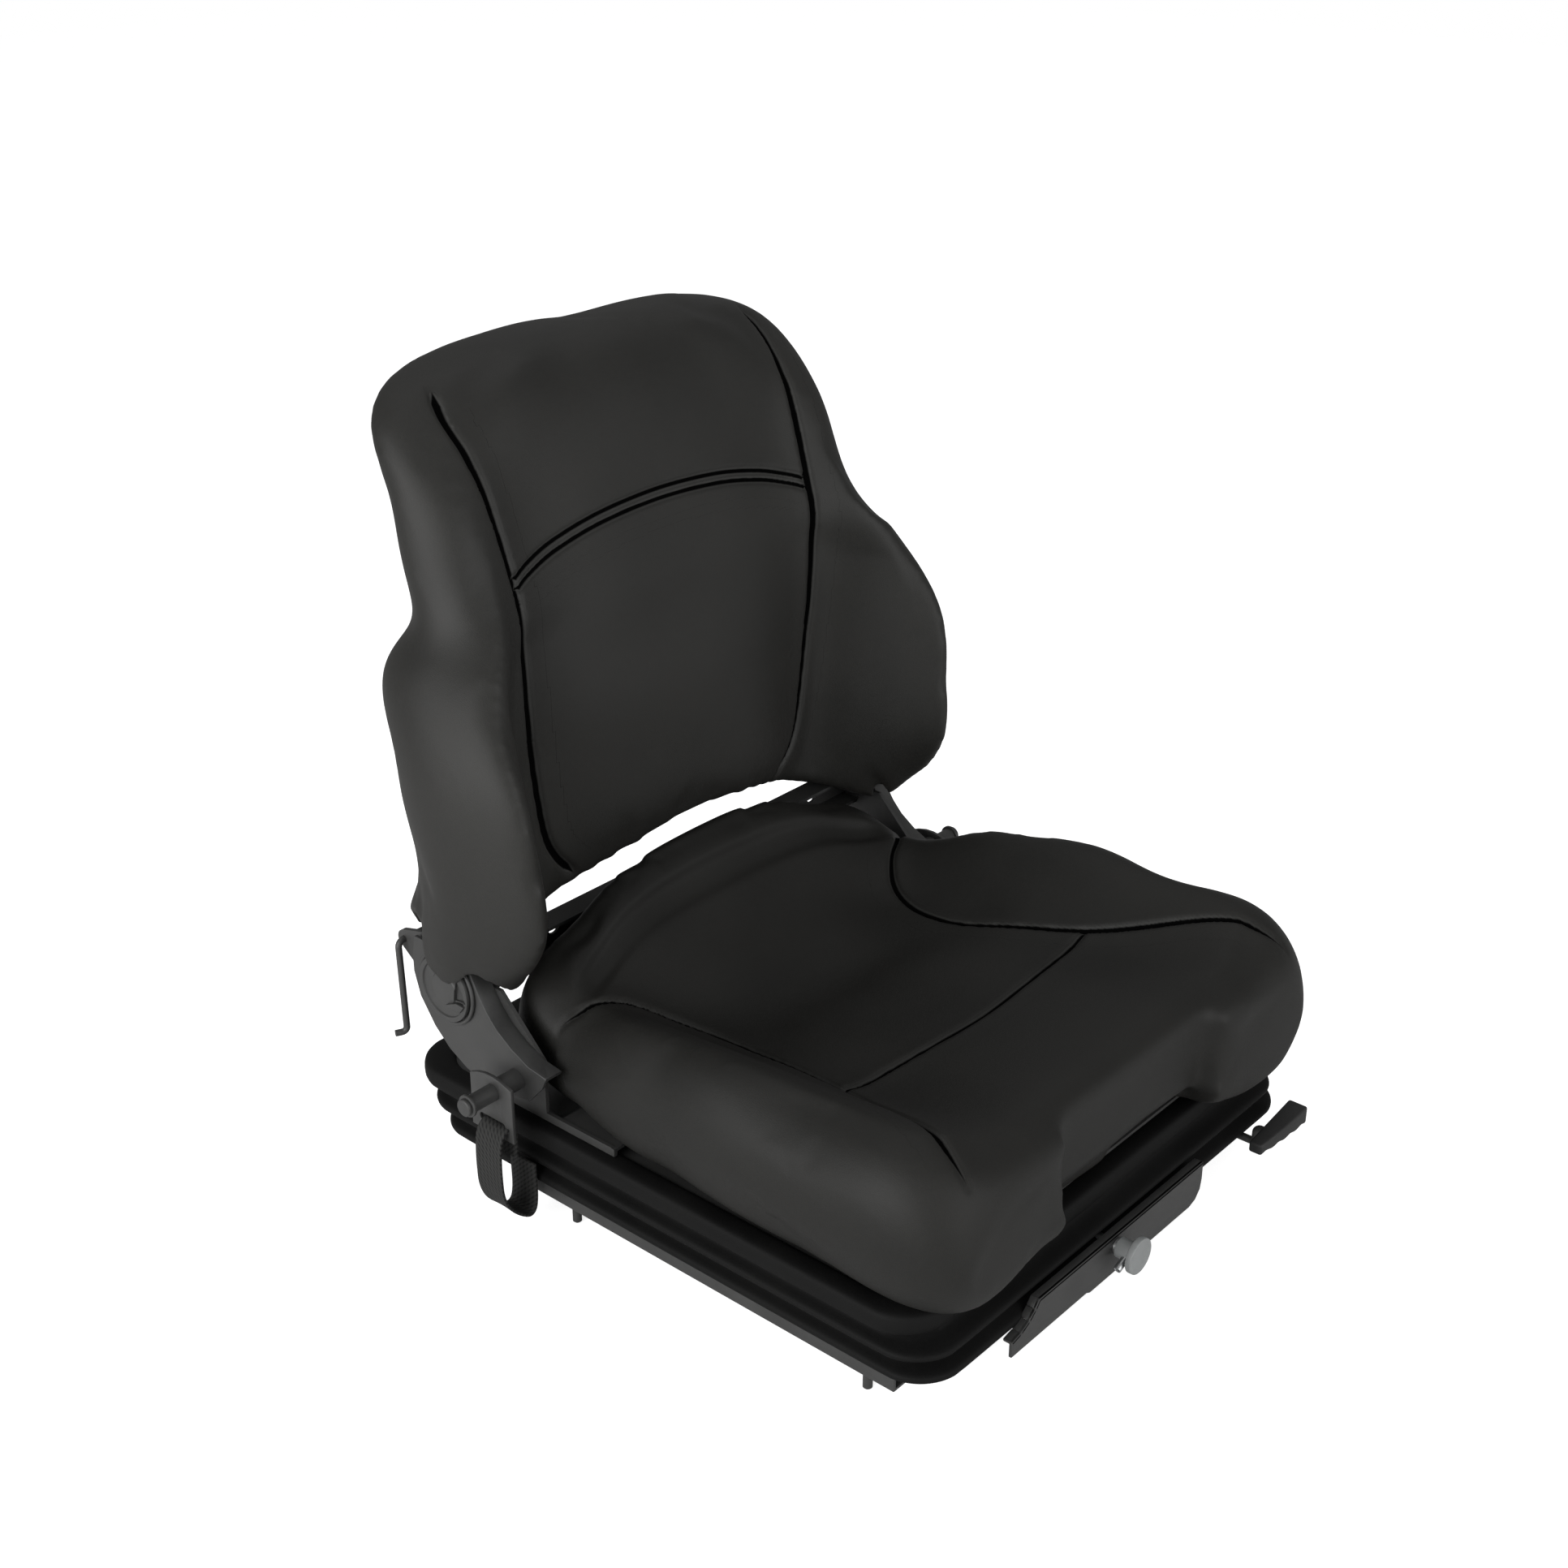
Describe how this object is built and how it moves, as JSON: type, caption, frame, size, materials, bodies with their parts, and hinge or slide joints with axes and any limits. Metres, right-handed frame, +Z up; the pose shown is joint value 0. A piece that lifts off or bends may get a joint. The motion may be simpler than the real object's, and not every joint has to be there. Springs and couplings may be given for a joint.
{
  "type": "tractor suspension seat",
  "caption": "Black vinyl tractor seat on a low mechanical suspension with rubber bellows, fore and aft slide, reclining back, weight adjuster and tethered belt anchors.",
  "frame": {"origin": "centre of the four-stud pattern, on the underside of the floor rails", "axes": "+Z up, -Y is the way the sitter faces, +X is the sitter's left"},
  "size_m": [0.562, 0.5911, 0.5982],
  "materials": {
    "black_steel": "satin",
    "bright_steel": "satin",
    "rubber": "matte",
    "black_plastic": "matte",
    "grey_plastic": "satin",
    "webbing": "matte",
    "vinyl": "satin"
  },
  "bodies": {
    "floor": {"floor_rail_right": "black_steel", "floor_rail_left": "black_steel", "mounting_studs": "black_steel"},
    "base": {"slide_runner_right": "black_steel", "slide_runner_left": "black_steel", "base_pan": "black_steel", "front_plate": "black_steel", "bump_stops": "rubber", "lower_tracks": "black_steel", "lower_pivot_ears": "black_steel", "damper_lower_clevis": "black_steel", "bellows": "rubber", "lever_clips": "black_steel", "tension_springs": "bright_steel"},
    "lever": {"slide_lever": "black_steel", "lever_grip": "black_plastic"},
    "adjuster": {"weight_knob": "grey_plastic", "adjuster_spindle": "bright_steel"},
    "spring_carriage": {"spring_bar": "bright_steel"},
    "outer_linkage": {"outer_arms": "black_steel", "middle_pins": "bright_steel", "upper_glides": "black_plastic"},
    "inner_linkage": {"inner_arms": "black_steel", "lower_glides": "black_plastic"},
    "damper_lower": {"damper_body": "black_steel"},
    "damper_upper": {"damper_rod": "bright_steel"},
    "upper": {"top_plate": "black_steel", "upper_tracks": "black_steel", "upper_pivot_ears": "black_steel", "damper_upper_clevis": "black_steel", "seat_bars": "black_steel", "seat_pan": "black_steel", "seat_cushion": "vinyl", "side_bracket_right": "black_steel", "side_bracket_left": "black_steel", "recliner_plate_right": "black_steel", "recliner_plate_left": "black_steel", "recliner_disc_right": "black_steel", "recliner_disc_left": "black_steel", "spiral_spring_right": "black_steel", "spiral_spring_left": "black_steel", "belt_anchor_right": "black_steel", "belt_anchor_left": "black_steel", "belt_bolts": "black_steel", "belt_nuts": "black_steel", "belt_spacers": "black_steel", "tether_strap_right": "webbing", "tether_strap_left": "webbing"},
    "backrest": {"back_arm_right": "black_steel", "back_arm_left": "black_steel", "cross_brace": "black_steel", "back_frame": "black_steel", "back_cushion": "vinyl"},
    "release": {"release_bar": "black_steel"}
  },
  "joints": [
    {"name": "fore_aft_slide", "type": "slide", "parent": "floor", "child": "base", "axis": [0, 1, 0], "range_m": [-0.1, 0.04]},
    {"name": "suspension_lift", "type": "slide", "parent": "base", "child": "upper", "axis": [0, 0, 1], "range_m": [0, 0.06], "deforming": ["bellows", "tether_strap_right", "tether_strap_left", "tension_springs"]},
    {"name": "outer_arms_hinge", "type": "hinge", "parent": "base", "child": "outer_linkage", "pos_m": [0, 0.1295, 0.03], "axis": [1, 0, 0], "range_deg": [-11.8, 0]},
    {"name": "inner_arms_hinge", "type": "hinge", "parent": "upper", "child": "inner_linkage", "pos_m": [0, 0.1295, 0.046], "axis": [1, 0, 0], "range_deg": [0, 11.8]},
    {"name": "damper_hinge", "type": "hinge", "parent": "base", "child": "damper_lower", "pos_m": [-0.095, 0.0895, 0.025], "axis": [1, 0, 0], "range_deg": [-18, 0]},
    {"name": "damper_stroke", "type": "slide", "parent": "damper_lower", "child": "damper_upper", "axis": [0, -0.9956, 0.094], "range_m": [0, 0.0152]},
    {"name": "knob_turn", "type": "hinge", "parent": "base", "child": "adjuster", "pos_m": [-0.022, -0.2265, 0.019], "axis": [0, 1, 0], "range_deg": [0, 1800]},
    {"name": "spring_carriage_slide", "type": "slide", "parent": "base", "child": "spring_carriage", "axis": [0, -1, 0], "range_m": [0, 0.0201]},
    {"name": "slide_lever_turn", "type": "hinge", "parent": "base", "child": "lever", "pos_m": [0.164, -0.2135, 0.008], "axis": [0, -1, 0], "range_deg": [0, 10], "stiffness_Nm_per_rad": 1},
    {"name": "recline", "type": "hinge", "parent": "upper", "child": "backrest", "pos_m": [0, 0.2335, 0.147], "axis": [1, 0, 0], "range_deg": [-18, 4]},
    {"name": "release_bar_turn", "type": "hinge", "parent": "backrest", "child": "release", "pos_m": [0, 0.2855, 0.165], "axis": [1, 0, 0], "range_deg": [0, 20], "stiffness_Nm_per_rad": 0.6}
  ],
  "couplings": [
    {"joint": "outer_arms_hinge", "follows": "suspension_lift", "rad_per_m": -3.3799},
    {"joint": "inner_arms_hinge", "follows": "suspension_lift", "rad_per_m": 3.3799},
    {"joint": "damper_hinge", "follows": "suspension_lift", "rad_per_m": -5.1677},
    {"joint": "damper_stroke", "follows": "suspension_lift", "ratio": 0.2497},
    {"joint": "spring_carriage_slide", "follows": "knob_turn", "m_per_rad": 0.00063662}
  ]
}
